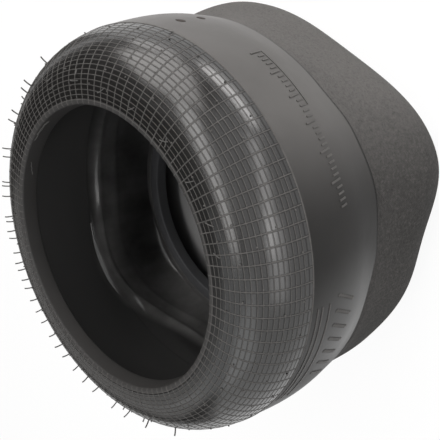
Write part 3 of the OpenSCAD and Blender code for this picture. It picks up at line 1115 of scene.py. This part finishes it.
class BELLOWS_OT_ribs(bpy.types.Operator):
    """Grid of fine raised ribs moulded on the shoulder"""

    bl_idname = "bellows.ribs"
    bl_label = "Shoulder ribs"

    def execute(self, context):
        s, relief = context.scene.bellows_shape, context.scene.bellows_relief
        surface = Surface()
        sink = -0.12 * MM
        lip = [(s.top_bore + s.lip_round * (1 - math.sin(q)),
                s.height - s.lip_round * (1 - math.cos(q)))
               for q in np.radians(np.linspace(52, 8, 4))]
        path = [Vector((r, 0, z + sink)) for r, z in lip]
        for arc in np.arange(2.6 * MM, relief.edge_arc, 0.9 * MM):
            point, _ = surface.at(0.0, float(arc), sink)
            point.x -= float(lean_at(s, np.array([point.z]))[0])
            path.append(point)
        ribs = grown("shoulder_ribs", rib_grid_tree(), path_mesh("rib_path", path), {
            "ribs": relief.rib_count, "rows": relief.rib_rows, "row_pitch": relief.row_pitch,
            "rib_radius": relief.rib_radius, "ring_radius": relief.ring_radius,
            "Material": rib_rubber()})
        leaned(ribs.data)
        bend_with_stroke(ribs)
        return {"FINISHED"}


class BELLOWS_OT_whiskers(bpy.types.Operator):
    """Rubber whiskers left by the mould's vents"""

    bl_idname = "bellows.whiskers"
    bl_label = "Vent whiskers"

    def execute(self, context):
        relief = context.scene.bellows_relief
        surface, chance = Surface(), random.Random(7)
        upright, loose = 0.16, 0.6  # how far chance tilts a long whisker, and a stub
        spots = []

        def whisker(degrees, arc, reach, tilt):
            point, out = surface.at(degrees, arc * MM)
            way = out + Vector([chance.uniform(-tilt, tilt) for _ in range(3)])
            spots.append((point, way.normalized(), [reach * MM] * 3))

        for degrees, arc in LONG_WHISKERS:
            whisker(degrees, arc, chance.uniform(4.3, 5.2), upright)
        count = relief.whiskers_per_ring
        for row, arc in enumerate(VENT_RINGS):
            for k in range(count):
                degrees = (k + (row % 3) / 3) * 360 / count + chance.uniform(-1.2, 1.2)
                hidden = 15 < degrees % 360 < 165 and row > 2
                reach = chance.uniform(3.0, 4.6) if hidden else chance.uniform(0.3, 0.8)
                whisker(degrees, arc + chance.uniform(-0.6, 0.6), reach,
                        upright if hidden else loose)
        whiskers = grown("vent_whiskers", whisker_tree(), spots_mesh("vents", spots), {
            "radius": relief.whisker_radius, "Material": bpy.data.materials["rib_rubber"]})
        bend_with_stroke(whiskers)
        return {"FINISHED"}


class BELLOWS_OT_flat_whiskers(bpy.types.Operator):
    """Whiskers that lie flat on the ribs, and shreds of flash on the upper seat"""

    bl_idname = "bellows.flat_whiskers"
    bl_label = "Flat whiskers"

    def execute(self, context):
        s, relief = context.scene.bellows_shape, context.scene.bellows_relief
        surface, spots = Surface(), []
        for degrees, arc, turn, reach in FLAT_WHISKERS:
            point, out = surface.at(degrees, arc * MM, relief.rib_radius)
            a, q = math.radians(degrees), math.radians(turn)
            around = Vector((-math.sin(a), math.cos(a), 0))
            way = around * math.cos(q) + out.cross(around) * math.sin(q) + out * 0.12
            spots.append((point, way.normalized(), [reach * MM] * 3))
        flat = grown("flat_whiskers", whisker_tree(), spots_mesh("flat_vents", spots), {
            "radius": 0.24 * MM, "Material": spew_rubber()})
        bend_with_stroke(flat)

        spots, bends, bore = [], 8, s.top_bore - 0.1 * MM
        for start, stop, high, low in SHREDS:
            ends = []
            for k in range(bends + 1):
                a = math.radians(mix(start, stop, k / bends))
                drop = mix(high, low, k / bends) + 0.25 * math.sin(k * 2.1)
                ends.append(Vector((bore * math.cos(a), bore * math.sin(a), s.height - drop * MM)))
            for one, two in zip(ends, ends[1:]):
                spots.append((one, (two - one).normalized(), [(two - one).length * 1.05] * 3))
        shreds = grown("seat_flash", whisker_tree(), spots_mesh("flash_points", spots), {
            "bend": 0.0, "radius": 0.26 * MM, "Material": bpy.data.materials["spew_rubber"]})
        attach(shreds, "plate_end")
        return {"FINISHED"}


class BELLOWS_OT_scale(bpy.types.Operator):
    """Plain raised marks moulded on the smooth band: a tick scale, lines and slanted bars"""

    bl_idname = "bellows.scale"
    bl_label = "Band marks"

    def execute(self, context):
        relief = context.scene.bellows_relief
        surface, spots = Surface(), []

        def bar(degrees, arc, width, tall, proud=relief.tick_proud / MM):
            """A block by its direction and by its arc and sizes in mm."""
            point, out = surface.at(degrees, arc * MM)
            spots.append((point, out, (proud * 2 * MM, width * MM, tall * MM)))

        # Ticks, every fifth one longer, and the line under them
        for k in range(30):
            tall = 7.0 if k % 5 == 0 else 4.2
            bar(-61 - k * 1.35, 79.0 - tall / 2, 0.9, tall)
        for k in range(22):
            bar(-61.2 - k * 0.75, 80.6, 1.75, 0.6)
        # Slanted bars, each of short blocks, and three lines above them
        for k in range(7):
            for j in range(7):
                bar(-119.5 - k * 3.9 - j * 0.42, 70.5 + j * 1.9, 1.2, 2.1, 0.22)
        for arc in (56.0, 59.0, 64.0):
            for k in range(56):
                bar(-121 - k * 0.55, arc, 1.3, 0.8, 0.25)
        marks = grown("band_scale", bars_tree(), spots_mesh("band_points", spots), {
            "Material": bpy.data.materials["rib_rubber"]})
        bend_with_stroke(marks)
        return {"FINISHED"}


class BELLOWS_OT_edge(bpy.types.Operator):
    """Thin raised line round the edge of the rib grid"""

    bl_idname = "bellows.edge"
    bl_label = "Grid edge line"

    def execute(self, context):
        relief = context.scene.bellows_relief
        surface = Surface()
        around, sides, radius, sink = 288, 8, 0.42 * MM, -0.1 * MM
        rings = []
        for degrees in np.arange(around) * 360 / around:
            point, out = surface.at(degrees, relief.edge_arc, sink)
            below, _ = surface.at(degrees, relief.edge_arc + 0.5 * MM, sink)
            down = (below - point).normalized()
            rings.append([point + (out * math.sin(q) + down * math.cos(q)) * radius
                          for q in (-math.tau * j / sides for j in range(sides))])
        arcs = np.arange(sides) * math.tau * radius / sides
        line = ring_mesh(
            "grid_edge_line", np.array(rings), arcs, bpy.data.materials["rib_rubber"], 80)
        bend_with_stroke(line)
        return {"FINISHED"}


class BELLOWS_OT_dabs(bpy.types.Operator):
    """Two dark dabs of rubber solution on the band"""

    bl_idname = "bellows.dabs"
    bl_label = "Dabs"

    def execute(self, context):
        surface = Surface()
        wall, sides = 124.8 * MM, 28  # radius of the wall under the dabs, and sides of a dab
        rings = ((1.0, -0.2), (0.94, 0.1), (0.7, 0.24), (0.35, 0.3))  # share of size, height in mm
        points, faces = [], []
        for degrees, arc, wide, tall in DABS:
            start = len(points)
            for share, proud in rings:
                for q in (math.tau * j / sides for j in range(sides)):
                    aside = math.degrees(wide * share * math.cos(q) * MM / wall)
                    down = tall * share * math.sin(q)
                    points.append(surface.at(degrees + aside, (arc - down) * MM, proud * MM)[0])
            points += [surface.at(degrees, arc * MM, proud * MM)[0] for proud in (0.32, -0.4)]
            for ring in range(len(rings) - 1):
                for j in range(sides):
                    a, b = start + ring * sides + j, start + ring * sides + (j + 1) % sides
                    faces.append((a, b, b + sides, a + sides))
            last = start + (len(rings) - 1) * sides
            for j in range(sides):
                k = (j + 1) % sides
                faces.append((last + j, last + k, len(points) - 2))
                faces.append((start + k, start + j, len(points) - 1))
        mesh = bpy.data.meshes.new("band_dabs")
        mesh.from_pydata(points, [], faces)
        mesh.polygons.foreach_set("use_smooth", np.ones(len(faces), bool))
        mesh.materials.append(dab_rubber())
        dabs = bpy.data.objects.new("band_dabs", mesh)
        context.scene.collection.objects.link(dabs)
        bend_with_stroke(dabs)
        return {"FINISHED"}


class BELLOWS_OT_cores(bpy.types.Operator):
    """Finishes of the bead wires, their wraps and the fillers"""

    bl_idname = "bellows.cores"
    bl_label = "Bead cores"

    def execute(self, context):
        finishes = {"wires": bead_wire(), "wrap": wrap_fabric(), "filler": filler_rubber()}
        for name, node in frame["nodes"].items():
            finish = finishes.get(name.rsplit("_", 1)[-1])
            if finish:
                node.data.materials.clear()
                node.data.materials.append(finish)
        return {"FINISHED"}


OPERATORS = (
    BELLOWS_OT_studio, BELLOWS_OT_cover, BELLOWS_OT_plies, BELLOWS_OT_liner, BELLOWS_OT_chafers,
    BELLOWS_OT_ribs, BELLOWS_OT_whiskers, BELLOWS_OT_flat_whiskers, BELLOWS_OT_scale,
    BELLOWS_OT_edge, BELLOWS_OT_dabs, BELLOWS_OT_cores)


class BELLOWS_PT_panel(bpy.types.Panel):
    """Lists the bellows' pieces"""

    bl_label = "Air Spring Bellows"
    bl_idname = "BELLOWS_PT_panel"
    bl_space_type = "VIEW_3D"
    bl_region_type = "UI"
    bl_category = "Bellows"

    def draw(self, context):
        for operator in OPERATORS:
            self.layout.operator(operator.bl_idname)


GROUPS = {
    "bellows_shape": BellowsShape, "bellows_relief": BellowsRelief,
    "bellows_finish": BellowsFinish, "bellows_studio": BellowsStudio}


def register():
    for cls in (*GROUPS.values(), *OPERATORS, BELLOWS_PT_panel):
        bpy.utils.register_class(cls)
    for name, cls in GROUPS.items():
        setattr(bpy.types.Scene, name, PointerProperty(type=cls))


def unregister():
    for name in GROUPS:
        delattr(bpy.types.Scene, name)
    for cls in (BELLOWS_PT_panel, *reversed(OPERATORS), *GROUPS.values()):
        bpy.utils.unregister_class(cls)


def main():
    register()
    for operator in OPERATORS:
        group, name = operator.bl_idname.split(".")
        getattr(getattr(bpy.ops, group), name)()


if __name__ == "__main__":
    main()
